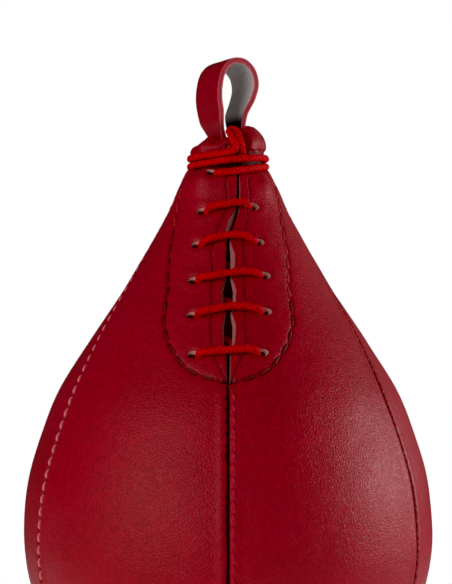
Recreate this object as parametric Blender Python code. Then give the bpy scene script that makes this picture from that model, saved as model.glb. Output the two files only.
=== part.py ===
"""Laced leather speed bag: six panels, lining, bladder, lacing and a hanging loop.

Lengths in this file are millimetres and become metres where a mesh is made.
The origin is the inside top of the hanging loop, +Z is up and the lacing faces -Y.
Angles about the bag's axis count from the front, positive towards +X.
"""
import math

import bmesh
import bpy
from mathutils import Matrix, Vector

MM = 0.001

# The bag's outer leather surface, turned about the Z axis.
BAG_RADIUS = 88.9
EQUATOR_Z = -202.0
UPPER_SEMI_AXIS = 103.0
LOWER_SEMI_AXIS = 88.9
ELLIPSE_START_Z = -157.0
POLE_RADIUS = 1.3
# Radius and height from the gathered top of the neck, over the waist under the tie, down the cone.
THROAT_OUTLINE = (
    (10.5, -31.2),
    (15.9, -35.0),
    (14.3, -40.0),
    (14.3, -45.4),
    (18.9, -49.2),
    (27.8, -67.7),
    (42.9, -94.0),
    (60.4, -120.3),
    (73.3, -141.1),
)
FIRST_CONE_KNOT = 4

# Depths below the outer surface of each layer's outer and inner face.
LEATHER = (0.0, -1.6)
REINFORCEMENT = (-2.3, -3.3)
LINING = (-4.0, -4.7)
TONGUE = (-9.2, -10.4)
GAP = 0.3
PANEL_COLUMNS = 5
LINING_COLUMNS = 3

# Seams: the front one is at 0 degrees and the back one at 180 degrees.
SIDE_SEAM_DEG = 60.0
BACK_SIDE_SEAM_DEG = 120.0
SIDE_SEAM_SPREAD_DEG = 26.0
BACK_SIDE_SEAM_SPREAD_DEG = 14.0
SPREAD_LOW_Z = -150.0
SPREAD_HIGH_Z = -60.0

# Throat opening, facing and tongue.
SLIT_TIP_Z = -136.0
SLIT_WIDEST_Z = -108.0
SLIT_HALF_WIDTH = 1.6
SLIT_HALF_WIDTH_ABOVE = 0.5
FACING_TOP_Z = -51.0
FACING_CORNER_Z = -110.0
FACING_TIP_Z = -133.6
FACING_STITCH_WIDTH = 27.0
FACING_MARGIN = 2.5
FACING_ROUNDNESS = 2.05
FACING_COLUMNS = 4
SEAM_CLEARANCE = 5.5
TONGUE_WIDTH = 15.0
TONGUE_TOP_Z = -60.0
TONGUE_BOTTOM_Z = -131.0
SLIT_STITCH_WIDTH = 6.8
SLIT_STITCH_TIP_WIDTH = 2.2
SLIT_STITCH_TOP_WIDTH = 4.9
SLIT_STITCH_TOP_Z = -60.0
SLIT_STITCH_CLOSING_LENGTH = 12.0
NECK_NARROWING_LOW_Z = -85.0
NECK_NARROWING_HIGH_Z = -62.0

# Lace rows, lowest first: height of the left hole and its distance from the slit, the same for the
# right hole, and how far the bar rises over the slit.
LACE_ROWS = (
    (-123.9, 11.8, -123.0, 11.6, 0.0),
    (-108.5, 12.6, -107.1, 13.4, 1.1),
    (-94.5, 12.4, -92.5, 13.4, 0.5),
    (-79.6, 11.4, -78.4, 11.2, 1.9),
    (-65.3, 9.2, -63.2, 9.2, 0.9),
)
TOP_HOLE = (-48.6, 5.3)
LACE_RADIUS = 1.5
LACE_HOLE_RADIUS = 2.45
LACE_OUTSIDE = 1.95
LACE_INSIDE = -5.5
LACE_CROSSING = -5.3
LACE_ARCH = 3.1
LACE_OVER_STITCH = 2.85
LACE_CLIMB = 1.5
LACE_BEND = 2.6
LACE_STEP = 5.2
TIE_RADIUS = 16.6
TIE_LOW_Z = -44.3
TIE_HIGH_Z = -40.8
TIE_CROSSING_DEG = (290.0, 450.0)
# The upper turn bulges over the doubled end tucked under it.
TIE_BULGE = 2.9
TIE_BULGE_DEG = 380.0
TIE_BULGE_WIDTH_DEG = 26.0
# Angle, height and radius of the lace between the top hole and the tie's first turn.
CLIMB_TO_TIE = (
    (-7.0, -48.5, 21.5),
    (4.0, -48.0, 21.0),
    (16.0, -47.3, 19.8),
    (37.0, -46.2, 18.4),
    (62.0, -45.0, 17.0),
)
# The lace's doubled end: along the front of the neck, up between the gathers and back under the tie.
DOUBLED_END = (
    (-9.5, -13.9, -40.5),
    (-4.6, -16.5, -40.2),
    (-0.4, -18.0, -39.7),
    (2.4, -18.9, -38.9),
    (3.3, -19.3, -37.4),
    (2.9, -18.9, -35.8),
    (1.9, -17.4, -33.6),
    (0.8, -15.0, -31.3),
    (0.4, -12.8, -29.7),
    (1.9, -11.5, -29.0),
    (3.5, -12.9, -29.8),
    (4.4, -15.6, -31.8),
    (5.2, -17.3, -34.6),
    (5.9, -17.2, -37.2),
    (6.2, -15.9, -39.2),
    (6.2, -14.95, -41.6),
)
KNOT_RADIUS = 2.5
KNOT_DROP = 7.4

TAPE_HALF_WIDTH = 4.0
THREAD_RADIUS = 0.3
THREAD_HEIGHT = 0.65
THREAD_STEP = 12.0
THREAD_TOP_Z = -52.0
THREAD_END_RADIUS = 4.0

# Hanging loop: a strap whose width lies along an axis turned from +Y.
LOOP_TURN_DEG = 30.0
STRAP_THICKNESS = 2.6
STRAP_HALF_WIDTH = 10.0
STRAP_NECK_HALF_WIDTH = 5.0
LOOP_TOP_RADIUS = 9.3
LOOP_FOOT_Z = -25.8
LOOP_FOOT_X = 5.2
TAIL_TOP_Z = -29.9
TAIL_BOTTOM_Z = -57.0
# The bag swings at the loop's foot, about the axis along the strap's width.
PIVOT_Z = -28.0

# Bladder and valve.
BLADDER_TOP_Z = -66.0
BLADDER_WALL = 1.2
BLADDER_DEPTH_BELOW = 6.6
BLADDER_DEPTH_THROAT = 11.2
BLADDER_SEGMENTS = 20
VALVE_Z = -100.0
VALVE_RADIUS = 4.5
VALVE_BORE_RADIUS = 1.8
VALVE_LENGTH = 12.0

COLOURS = {
    "leather": ((0.30, 0.004, 0.016), 0.42),
    "strap": ((0.26, 0.006, 0.018), 0.45),
    "facing": ((0.22, 0.006, 0.014), 0.6),
    "lining": ((0.55, 0.50, 0.44), 0.9),
    "tape": ((0.08, 0.08, 0.08), 0.8),
    "lace": ((0.60, 0.0, 0.012), 0.7),
    "thread": ((0.45, 0.03, 0.03), 0.7),
    "bladder": ((0.05, 0.05, 0.055), 0.55),
    "valve": ((0.02, 0.02, 0.02), 0.5),
}


def smoothstep(low, high, value):
    t = min(1.0, max(0.0, (value - low) / (high - low)))
    return t * t * (3.0 - 2.0 * t)


# ---------------------------------------------------------------- outer surface

def ellipse_knots():
    """Points of the two elliptic arcs from the cone's end over the widest ring to the pole."""
    start = math.asin((ELLIPSE_START_Z - EQUATOR_Z) / UPPER_SEMI_AXIS)
    angles = [start, start / 2.0]
    last = -math.acos(POLE_RADIUS / BAG_RADIUS)
    steps = 9
    angles += [last * i / steps for i in range(steps + 1)]
    knots = []
    for angle in angles:
        semi = UPPER_SEMI_AXIS if angle > 0.0 else LOWER_SEMI_AXIS
        knots.append((BAG_RADIUS * math.cos(angle), EQUATOR_Z + semi * math.sin(angle)))
    return knots


def smooth_curve(points):
    """Return the length of a smooth curve through the points, its knots' lengths and its function."""
    points = [Vector(p) for p in points]
    knots = [0.0]
    for a, b in zip(points, points[1:]):
        knots.append(knots[-1] + (b - a).length)
    last = len(points) - 1

    def slope(i):
        low = max(0, i - 1)
        high = min(last, i + 1)
        return (points[high] - points[low]) / (knots[high] - knots[low])

    slopes = [slope(i) for i in range(last + 1)]

    def at(length):
        i = 0
        while i < last - 1 and knots[i + 1] < length:
            i += 1
        span = knots[i + 1] - knots[i]
        t = (length - knots[i]) / span
        a = (1 + 2 * t) * (1 - t) ** 2 * points[i] + t * t * (3 - 2 * t) * points[i + 1]
        b = t * (1 - t) ** 2 * span * slopes[i] - t * t * (1 - t) * span * slopes[i + 1]
        return a + b

    return knots, at


KNOT_LENGTHS, MERIDIAN = smooth_curve(list(THROAT_OUTLINE) + ellipse_knots())
TOTAL_LENGTH = KNOT_LENGTHS[-1]


def ring_lengths():
    """Distances down the outline of every ring: each knot, and a mid ring in each long cone span."""
    lengths = []
    for i, length in enumerate(KNOT_LENGTHS):
        lengths.append(length)
        in_cone = FIRST_CONE_KNOT <= i < len(THROAT_OUTLINE)
        if in_cone:
            lengths.append((length + KNOT_LENGTHS[i + 1]) / 2.0)
    return lengths


RINGS = ring_lengths()


def length_at(z):
    """Distance down the outline at which the surface has the height z."""
    low = 0.0
    high = TOTAL_LENGTH
    for _ in range(50):
        middle = (low + high) / 2.0
        if MERIDIAN(middle).y > z:
            low = middle
        else:
            high = middle
    return low


def outline_point(length, depth):
    """Radius and height of the surface moved along its normal by depth, which is negative inwards."""
    step = 0.05
    tangent = MERIDIAN(min(length + step, TOTAL_LENGTH)) - MERIDIAN(max(length - step, 0.0))
    tangent.normalize()
    return MERIDIAN(length) + Vector((-tangent.y, tangent.x)) * depth


def around(radius, angle, z):
    return Vector((radius * math.sin(angle), -radius * math.cos(angle), z))


def surface(length, angle, depth):
    radius, z = outline_point(length, depth)
    return around(radius, angle, z)


def throat(across, z, depth):
    """Point near the throat: arc distance across from the slit, height and depth."""
    length = length_at(z)
    return surface(length, across / MERIDIAN(length).x, depth)


# ---------------------------------------------------------------- seams and widths

def spread(z):
    return smoothstep(SPREAD_LOW_Z, SPREAD_HIGH_Z, z)


def seam_angle(index, z):
    """Angle of seam 0 (front) to 3 (back) on the right side."""
    angles = (
        0.0,
        SIDE_SEAM_DEG + SIDE_SEAM_SPREAD_DEG * spread(z),
        BACK_SIDE_SEAM_DEG + BACK_SIDE_SEAM_SPREAD_DEG * spread(z),
        180.0,
    )
    return math.radians(angles[index])


def slit_half_width(z):
    """Half of the gap between the two front panels."""
    closed = GAP / 2.0
    if z < SLIT_TIP_Z:
        return closed
    rise = smoothstep(SLIT_TIP_Z, SLIT_WIDEST_Z, z)
    fall = smoothstep(SLIT_WIDEST_Z, -70.0, z)
    return closed + (SLIT_HALF_WIDTH - closed) * rise - (SLIT_HALF_WIDTH - SLIT_HALF_WIDTH_ABOVE) * fall


def facing_stitch_width(z):
    """Arc distance from the slit to the facing's stitched outline."""
    if z > FACING_CORNER_Z:
        return FACING_STITCH_WIDTH
    drop = (FACING_CORNER_Z - z) / (FACING_CORNER_Z - FACING_TIP_Z)
    return FACING_STITCH_WIDTH * max(0.0, 1.0 - drop ** FACING_ROUNDNESS) ** (1.0 / FACING_ROUNDNESS)


def slit_stitch_width(z):
    """Arc distance from the slit to the stitching along it, which closes in at both ends."""
    tip = smoothstep(FACING_TIP_Z + SLIT_STITCH_CLOSING_LENGTH, FACING_TIP_Z, z)
    top = smoothstep(NECK_NARROWING_LOW_Z, NECK_NARROWING_HIGH_Z, z)
    width = SLIT_STITCH_WIDTH - (SLIT_STITCH_WIDTH - SLIT_STITCH_TIP_WIDTH) * tip
    return width - (SLIT_STITCH_WIDTH - SLIT_STITCH_TOP_WIDTH) * top


def within_front_panel(width, length, margin):
    radius, z = MERIDIAN(length)
    return min(width, radius * seam_angle(1, z) - margin)


# ---------------------------------------------------------------- mesh helpers

def clear_scene():
    for item in list(bpy.data.objects):
        bpy.data.objects.remove(item, do_unlink=True)


def material(kind):
    name = "m_" + kind
    if name in bpy.data.materials:
        return bpy.data.materials[name]
    colour, roughness = COLOURS[kind]
    made = bpy.data.materials.new(name)
    made.use_nodes = True
    shader = made.node_tree.nodes["Principled BSDF"]
    shader.inputs["Base Color"].default_value = (*colour, 1.0)
    shader.inputs["Roughness"].default_value = roughness
    shader.inputs["Metallic"].default_value = 0.0
    return made


def add_object(name, data, kind):
    item = bpy.data.objects.new(name, data)
    bpy.context.scene.collection.objects.link(item)
    if kind:
        data.materials.append(material(kind))
    return item


def mesh_object(name, bm, kind):
    bmesh.ops.recalc_face_normals(bm, faces=bm.faces)
    mesh = bpy.data.meshes.new(name)
    bm.to_mesh(mesh)
    bm.free()
    mesh.shade_smooth()
    mesh.set_sharp_from_angle(angle=math.radians(35.0))
    return add_object(name, mesh, kind)


def shell_object(name, outer, inner, kind):
    """Closed body between two grids of points with the same rows and columns."""
    bm = bmesh.new()
    sheets = []
    for grid in (outer, inner):
        sheets.append([[bm.verts.new(p * MM) for p in row] for row in grid])
    rows = len(outer)
    columns = len(outer[0])
    for sheet in sheets:
        for i in range(rows - 1):
            for j in range(columns - 1):
                bm.faces.new((sheet[i][j], sheet[i][j + 1], sheet[i + 1][j + 1], sheet[i + 1][j]))
    rim = [(0, j) for j in range(columns)]
    rim += [(i, columns - 1) for i in range(1, rows)]
    rim += [(rows - 1, j) for j in range(columns - 2, -1, -1)]
    rim += [(i, 0) for i in range(rows - 2, 0, -1)]
    for here, there in zip(rim, rim[1:] + rim[:1]):
        corners = [sheets[0][here[0]][here[1]], sheets[0][there[0]][there[1]]]
        corners += [sheets[1][there[0]][there[1]], sheets[1][here[0]][here[1]]]
        bm.faces.new(corners)
    return mesh_object(name, bm, kind)


def curved_shell(name, lengths, edges, layer, columns, kind):
    """Shell between two depths; edges(length, depth) gives the angles of its two sides."""
    grids = []
    for depth in layer:
        grid = []
        for length in lengths:
            first, last = edges(length, depth)
            angles = [first + (last - first) * j / columns for j in range(columns + 1)]
            grid.append([surface(length, angle, depth) for angle in angles])
        grids.append(grid)
    return shell_object(name, grids[0], grids[1], kind)


def tube_object(name, points, radius, resolution, kind):
    curve = bpy.data.curves.new(name, "CURVE")
    curve.dimensions = "3D"
    spline = curve.splines.new("POLY")
    spline.points.add(len(points) - 1)
    for target, point in zip(spline.points, points):
        target.co = (*(point * MM), 1.0)
    curve.bevel_depth = radius * MM
    curve.bevel_resolution = resolution
    curve.use_fill_caps = True
    return add_object(name, curve, kind)


def cylinder_object(name, radius, start, end, kind, segments=16):
    """Cylinder between two points; kind None makes a plain cutter."""
    axis = end - start
    turn = axis.to_track_quat("Z", "Y").to_matrix().to_4x4()
    place = Matrix.Translation((start + end) / 2.0 * MM) @ turn
    bm = bmesh.new()
    bmesh.ops.create_cone(
        bm,
        cap_ends=True,
        segments=segments,
        radius1=radius * MM,
        radius2=radius * MM,
        depth=axis.length * MM,
        matrix=place,
    )
    return mesh_object(name, bm, kind)


def cut(target, cutter):
    cutter.hide_render = True
    cutter.display_type = "WIRE"
    modifier = target.modifiers.new("cut_" + cutter.name, "BOOLEAN")
    modifier.operation = "DIFFERENCE"
    modifier.solver = "EXACT"
    modifier.object = cutter


# ---------------------------------------------------------------- leather, lining and tapes

def panel_edges(index, side):
    """Edge function of panel 0 (front), 1 (side) or 2 (back), on side -1 (left) or +1 (right)."""
    def edges(length, depth):
        radius, z = outline_point(length, depth)
        surface_z = MERIDIAN(length).y
        inner_gap = slit_half_width(surface_z) if index == 0 else GAP / 2.0
        first = seam_angle(index, surface_z) + math.asin(inner_gap / radius)
        last = seam_angle(index + 1, surface_z) - math.asin(GAP / 2.0 / radius)
        return side * first, side * last
    return edges


def lengths_between(top_z, bottom_z):
    top = length_at(top_z)
    bottom = length_at(bottom_z)
    inside = [length for length in RINGS if top + 1.0 < length < bottom - 1.0]
    return [top] + inside + [bottom]


def lace_hole_cutters(side):
    cutters = []
    places = [row[0:2] if side < 0 else row[2:4] for row in LACE_ROWS]
    if side < 0:
        places.append(TOP_HOLE)
    for number, (z, across) in enumerate(places):
        start = throat(side * across, z, 4.0)
        end = throat(side * across, z, -7.0)
        name = "cutter_hole_{}_{}".format("left" if side < 0 else "right", number)
        cutters.append(cylinder_object(name, LACE_HOLE_RADIUS, start, end, None, 12))
    return cutters


def make_panels():
    for side, side_name in ((-1, "left"), (1, "right")):
        cutters = lace_hole_cutters(side)
        for index, place in enumerate(("front", "side", "back")):
            name = "panel_{}_{}".format(place, side_name)
            panel = curved_shell(name, RINGS, panel_edges(index, side), LEATHER, PANEL_COLUMNS, "leather")
            lining_top = SLIT_TIP_Z - 2.0 if index == 0 else FACING_TOP_Z
            lengths = lengths_between(lining_top, MERIDIAN(RINGS[-2]).y)
            name = "lining_{}_{}".format(place, side_name)
            curved_shell(name, lengths, panel_edges(index, side), LINING, LINING_COLUMNS, "lining")
            if index == 0:
                facing = make_facing(side, side_name)
                for cutter in cutters:
                    cut(panel, cutter)
                    cut(facing, cutter)


def make_facing(side, side_name):
    def edges(length, depth):
        radius = outline_point(length, depth).x
        z = MERIDIAN(length).y
        width = facing_stitch_width(z) + FACING_MARGIN
        width = within_front_panel(width, length, SEAM_CLEARANCE)
        first = math.asin((slit_half_width(z) + GAP) / radius)
        return side * first, side * width / MERIDIAN(length).x

    lengths = lengths_between(FACING_TOP_Z, FACING_TIP_Z + 0.4)
    lengths.insert(-1, length_at(FACING_TIP_Z + 4.5))
    lengths.sort()
    return curved_shell("facing_" + side_name, lengths, edges, REINFORCEMENT, FACING_COLUMNS, "facing")


def seam_places():
    """Name, seam index and side of the six seams."""
    return (
        ("front", 0, 1),
        ("side_left", 1, -1),
        ("side_right", 1, 1),
        ("back_left", 2, -1),
        ("back_right", 2, 1),
        ("back", 3, 1),
    )


def make_seam_tapes():
    for place, index, side in seam_places():
        def edges(length, depth, index=index, side=side):
            radius = outline_point(length, depth).x
            middle = side * seam_angle(index, MERIDIAN(length).y)
            half = min(math.asin(min(1.0, TAPE_HALF_WIDTH / radius)), math.radians(24.0))
            return middle - half, middle + half

        top_z = SLIT_TIP_Z - 2.0 if index == 0 else FACING_TOP_Z
        lengths = lengths_between(top_z, MERIDIAN(RINGS[-2]).y)
        curved_shell("seam_tape_" + place, lengths, edges, REINFORCEMENT, 1, "tape")


def make_tongue():
    def edges(length, depth):
        half = TONGUE_WIDTH / MERIDIAN(length).x
        return -half, half

    lengths = lengths_between(TONGUE_TOP_Z, TONGUE_BOTTOM_Z)
    curved_shell("tongue", lengths, edges, TONGUE, 4, "facing")


# ---------------------------------------------------------------- threads

def make_threads():
    bottom = length_at(EQUATOR_Z)
    while MERIDIAN(bottom).x > THREAD_END_RADIUS:
        bottom += 0.5
    for place, index, side in seam_places():
        top = length_at(SLIT_TIP_Z - 2.0 if index == 0 else THREAD_TOP_Z)
        count = round((bottom - top) / THREAD_STEP)
        lengths = [top + (bottom - top) * i / count for i in range(count + 1)]
        points = []
        for length in lengths:
            angle = side * seam_angle(index, MERIDIAN(length).y)
            points.append(surface(length, angle, THREAD_HEIGHT))
        tube_object("seam_thread_" + place, points, THREAD_RADIUS, 0, "thread")


def make_throat_threads():
    top = length_at(SLIT_STITCH_TOP_Z)
    tip = length_at(FACING_TIP_Z + 1.5)
    for side, side_name in ((-1, "left"), (1, "right")):
        outline = []
        edge = []
        count = 16
        for i in range(count + 1):
            length = top + (tip - top) * math.sin(math.pi / 2.0 * i / count)
            z = MERIDIAN(length).y
            width = within_front_panel(facing_stitch_width(z), length, 3.0)
            outline.append(throat(side * width, z, THREAD_HEIGHT))
            edge.append(throat(side * slit_stitch_width(z), z, THREAD_HEIGHT))
        tube_object("facing_thread_" + side_name, outline, THREAD_RADIUS, 0, "thread")
        tube_object("slit_thread_" + side_name, edge, THREAD_RADIUS, 0, "thread")


# ---------------------------------------------------------------- lace

def lace_bar(left, right, rise, came_from, goes_to):
    """Route of one crossing: up through the left hole, over the slit, down through the right hole."""
    into_left = left + (came_from - left).normalized() * LACE_BEND
    out_of_right = right + (goes_to - right).normalized() * LACE_BEND
    inside = (right + goes_to) / 2.0
    along = (right - left).normalized() * LACE_CLIMB
    middle = (left + right) / 2.0
    stitch = SLIT_STITCH_WIDTH
    return [
        throat(*into_left, LACE_INSIDE),
        throat(*left, -3.4),
        throat(*left, -0.4),
        throat(*(left + along), LACE_OUTSIDE),
        throat(-stitch, left.y + rise * 0.6, LACE_OVER_STITCH),
        throat(0.0, middle.y + rise, LACE_ARCH),
        throat(stitch, right.y + rise * 0.6, LACE_OVER_STITCH),
        throat(*(right - along), LACE_OUTSIDE),
        throat(*right, -0.4),
        throat(*right, -3.4),
        throat(*out_of_right, LACE_INSIDE),
        throat(*inside, LACE_CROSSING),
    ]


def lace_tie():
    """Route from the top left hole twice round the neck, then up and back down as a doubled end."""
    z, across = TOP_HOLE
    points = [
        throat(-across, z, -3.4),
        throat(-across, z, -0.4),
    ]
    points += [around(radius, math.radians(angle), z) for angle, z, radius in CLIMB_TO_TIE]
    for angle in range(90, 690, 30):
        lift = smoothstep(TIE_CROSSING_DEG[0], TIE_CROSSING_DEG[1], angle)
        z = TIE_LOW_Z + (TIE_HIGH_Z - TIE_LOW_Z) * lift
        bulge = TIE_BULGE * math.exp(-((angle - TIE_BULGE_DEG) / TIE_BULGE_WIDTH_DEG) ** 2)
        points.append(around(TIE_RADIUS + bulge, math.radians(angle), z))
    points += [Vector(place) for place in DOUBLED_END]
    return points


def make_lace():
    lefts = [Vector((-row[1], row[0])) for row in LACE_ROWS]
    lefts.append(Vector((-TOP_HOLE[1], TOP_HOLE[0])))
    rights = [Vector((row[3], row[2])) for row in LACE_ROWS]
    knot = lefts[0] - Vector((0.0, KNOT_DROP))
    points = [throat(knot.x, knot.y + KNOT_RADIUS + GAP, LACE_INSIDE)]
    rises = [row[4] for row in LACE_ROWS]
    for left, right, rise, came_from, goes_to in zip(lefts, rights, rises, [knot] + rights, lefts[1:]):
        points += lace_bar(left, right, rise, came_from, goes_to)
    into_top = lefts[-1] + (rights[-1] - lefts[-1]).normalized() * LACE_BEND
    points.append(throat(*into_top, LACE_INSIDE))
    points += lace_tie()
    knots, at = smooth_curve(points)
    sampled = []
    for a, b in zip(knots, knots[1:]):
        pieces = max(1, round((b - a) / LACE_STEP))
        sampled += [at(a + (b - a) * i / pieces) for i in range(pieces)]
    sampled.append(points[-1])
    tube_object("lace", sampled, LACE_RADIUS, 2, "lace")
    make_stopper_knot(throat(*knot, LACE_INSIDE - 0.7))


def make_stopper_knot(middle):
    bm = bmesh.new()
    bmesh.ops.create_uvsphere(bm, u_segments=12, v_segments=8, radius=KNOT_RADIUS * MM)
    bmesh.ops.translate(bm, verts=bm.verts, vec=middle * MM)
    mesh_object("lace_stopper_knot", bm, "lace")


# ---------------------------------------------------------------- hanging loop

def strap_object(name, centreline, half_widths):
    """Flat strap through points in the loop's plane (across, up), its width along the turned axis."""
    turn = Matrix.Rotation(math.radians(LOOP_TURN_DEG), 3, "Z")
    half = STRAP_THICKNESS / 2.0
    grids = [[], []]
    last = len(centreline) - 1
    for i, (point, width) in enumerate(zip(centreline, half_widths)):
        along = centreline[min(last, i + 1)] - centreline[max(0, i - 1)]
        normal = Vector((-along.y, along.x)).normalized() * half
        for grid, place in zip(grids, (point + normal, point - normal)):
            row = [turn @ Vector((place.x, width * across, place.y)) for across in (-1, -0.5, 0, 0.5, 1)]
            grid.append(row)
    return shell_object(name, grids[0], grids[1], "strap")


def loop_half_width(z):
    """The strap is pinched where it enters the neck."""
    flare = smoothstep(LOOP_FOOT_Z - 3.0, LOOP_FOOT_Z + 9.0, z)
    return STRAP_NECK_HALF_WIDTH + (STRAP_HALF_WIDTH - STRAP_NECK_HALF_WIDTH) * flare


def make_hanging_loop():
    centre_z = -LOOP_TOP_RADIUS + STRAP_THICKNESS / 2.0
    leg = [Vector((LOOP_FOOT_X, LOOP_FOOT_Z)), Vector((6.3, -21.5)), Vector((8.3, -15.5))]
    arc = []
    steps = 10
    for i in range(steps + 1):
        angle = math.pi * i / steps
        x = LOOP_TOP_RADIUS * math.cos(angle)
        arc.append(Vector((x, centre_z + LOOP_TOP_RADIUS * math.sin(angle))))
    centreline = leg + arc + [Vector((-p.x, p.y)) for p in reversed(leg)]
    widths = [loop_half_width(p.y) for p in centreline]
    strap_object("hanging_loop", centreline, widths)


def make_loop_tails():
    for side, side_name in ((-1, "left"), (1, "right")):
        points = [Vector((side * LOOP_FOOT_X, TAIL_TOP_Z)), Vector((side * LOOP_FOOT_X, TAIL_BOTTOM_Z))]
        widths = [STRAP_NECK_HALF_WIDTH] * len(points)
        strap_object("loop_tail_" + side_name, points, widths)


# ---------------------------------------------------------------- bladder and valve

def bladder_outline(extra_depth):
    """Radius and height of the bladder's outer or inner wall, from its top to its bottom pole."""
    points = [Vector((0.0, BLADDER_TOP_Z - extra_depth))]
    for length in RINGS:
        z = MERIDIAN(length).y
        throat_share = smoothstep(-165.0, -140.0, z)
        depth = BLADDER_DEPTH_BELOW + (BLADDER_DEPTH_THROAT - BLADDER_DEPTH_BELOW) * throat_share
        point = outline_point(length, -depth - extra_depth)
        if point.y < BLADDER_TOP_Z - 5.0 and length < RINGS[-2]:
            points.append(point)
    points.append(Vector((0.0, outline_point(TOTAL_LENGTH, -BLADDER_DEPTH_BELOW - extra_depth).y)))
    return points


def turned_object(name, outline, kind):
    """Solid of revolution; the outline starts and ends on the axis."""
    bm = bmesh.new()
    top = bm.verts.new(Vector((0.0, 0.0, outline[0].y)) * MM)
    bottom = bm.verts.new(Vector((0.0, 0.0, outline[-1].y)) * MM)
    rings = []
    for point in outline[1:-1]:
        angles = [2.0 * math.pi * i / BLADDER_SEGMENTS for i in range(BLADDER_SEGMENTS)]
        rings.append([bm.verts.new(around(point.x, angle, point.y) * MM) for angle in angles])
    for upper, lower in zip(rings, rings[1:]):
        for i in range(BLADDER_SEGMENTS):
            j = (i + 1) % BLADDER_SEGMENTS
            bm.faces.new((upper[i], upper[j], lower[j], lower[i]))
    for i in range(BLADDER_SEGMENTS):
        j = (i + 1) % BLADDER_SEGMENTS
        bm.faces.new((top, rings[0][j], rings[0][i]))
        bm.faces.new((bottom, rings[-1][i], rings[-1][j]))
    return mesh_object(name, bm, kind)


def make_bladder_and_valve():
    bladder = turned_object("bladder", bladder_outline(0.0), "bladder")
    hollow = turned_object("cutter_bladder_hollow", bladder_outline(BLADDER_WALL), None)
    cut(bladder, hollow)
    length = length_at(VALVE_Z)
    outside, face, inside, past = [
        surface(length, 0.0, -BLADDER_DEPTH_THROAT - depth)
        for depth in (-8.0, 0.0, VALVE_LENGTH, VALVE_LENGTH + 4.0)
    ]
    cut(bladder, cylinder_object("cutter_valve_seat", VALVE_RADIUS + GAP, outside, inside, None))
    housing = cylinder_object("valve_housing", VALVE_RADIUS, face, inside, "valve")
    cut(housing, cylinder_object("cutter_valve_bore", VALVE_BORE_RADIUS, outside, past, None))
    inset = (inside - face).normalized() * GAP
    cylinder_object("valve_plug", VALVE_BORE_RADIUS - GAP, face + inset, inside - inset, "valve", 12)


def hang_on_pivot():
    """Parent every piece but the loop to an empty whose Y axis is the swing's axis."""
    pivot = bpy.data.objects.new("neck_pivot", None)
    pivot.location = (0.0, 0.0, PIVOT_Z * MM)
    pivot.rotation_euler.z = math.radians(LOOP_TURN_DEG)
    bpy.context.scene.collection.objects.link(pivot)
    bpy.context.view_layer.update()
    for item in bpy.data.objects:
        moving = item.type != "EMPTY" and item.name != "hanging_loop"
        if moving and not item.hide_render:
            item.parent = pivot
            item.matrix_parent_inverse = pivot.matrix_world.inverted()


def main():
    clear_scene()
    make_panels()
    make_seam_tapes()
    make_tongue()
    make_threads()
    make_throat_threads()
    make_lace()
    make_hanging_loop()
    make_loop_tails()
    make_bladder_and_valve()
    hang_on_pivot()


main()
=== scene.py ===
"""Looks of the laced leather speed bag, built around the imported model.

Lengths here are millimetres and become metres where a mesh is made. The lacing faces -Y, +Z is up,
and angles about the bag's axis count from the front, positive towards +X.
"""
import math

import bmesh
import bpy
import numpy as np
from mathutils import Matrix, Vector


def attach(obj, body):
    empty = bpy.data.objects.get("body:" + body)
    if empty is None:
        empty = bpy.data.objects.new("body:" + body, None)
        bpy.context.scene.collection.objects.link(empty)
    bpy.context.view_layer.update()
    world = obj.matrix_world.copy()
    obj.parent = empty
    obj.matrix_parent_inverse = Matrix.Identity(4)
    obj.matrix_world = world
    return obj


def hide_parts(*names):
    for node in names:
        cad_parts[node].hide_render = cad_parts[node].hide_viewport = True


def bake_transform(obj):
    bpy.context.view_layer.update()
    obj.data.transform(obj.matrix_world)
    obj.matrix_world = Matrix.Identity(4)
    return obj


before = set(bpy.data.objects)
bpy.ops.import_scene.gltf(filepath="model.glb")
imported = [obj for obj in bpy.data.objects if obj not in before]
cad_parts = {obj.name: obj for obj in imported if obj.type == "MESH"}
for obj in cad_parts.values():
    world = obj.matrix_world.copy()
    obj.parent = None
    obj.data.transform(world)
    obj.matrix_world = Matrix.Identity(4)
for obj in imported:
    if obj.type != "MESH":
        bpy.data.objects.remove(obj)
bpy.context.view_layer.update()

MM = 0.001

# ---------- outer surface, as in the CAD

BAG_RADIUS = 88.9
EQUATOR_Z = -202.0
UPPER_SEMI_AXIS = 103.0
LOWER_SEMI_AXIS = 88.9
ELLIPSE_START_Z = -157.0
POLE_RADIUS = 1.3
THROAT_OUTLINE = (
    (10.5, -31.2), (15.9, -35.0), (14.3, -40.0), (14.3, -45.4), (18.9, -49.2),
    (27.8, -67.7), (42.9, -94.0), (60.4, -120.3), (73.3, -141.1),
)
# Angle of seam 0 (front) to 3 (back) on the right side, and what is added to it at the neck.
SEAM_ANGLES_DEG = ((0.0, 0.0), (60.0, 26.0), (120.0, 14.0), (180.0, 0.0))
SPREAD_LOW_Z = -150.0
SPREAD_HIGH_Z = -60.0
LEATHER_THICKNESS = 1.6
SEAM_GAP = 0.3

SLIT_TIP_Z = -136.0
FACING_CORNER_Z = -110.0
FACING_TIP_Z = -133.6
FACING_STITCH_WIDTH = 27.0
FACING_ROUNDNESS = 2.05
SLIT_STITCH_WIDTH = 6.8
SLIT_STITCH_TOP_WIDTH = 4.9

# Lace rows, lowest first: height of the left hole and its distance from the slit, the same for the
# right hole, and how far the bar rises over the slit.
LACE_ROWS = (
    (-123.9, 11.8, -123.0, 11.6, 0.0),
    (-108.5, 12.6, -107.1, 13.4, 1.1),
    (-94.5, 12.4, -92.5, 13.4, 0.5),
    (-79.6, 11.4, -78.4, 11.2, 1.9),
    (-65.3, 9.2, -63.2, 9.2, 0.9),
)
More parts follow.
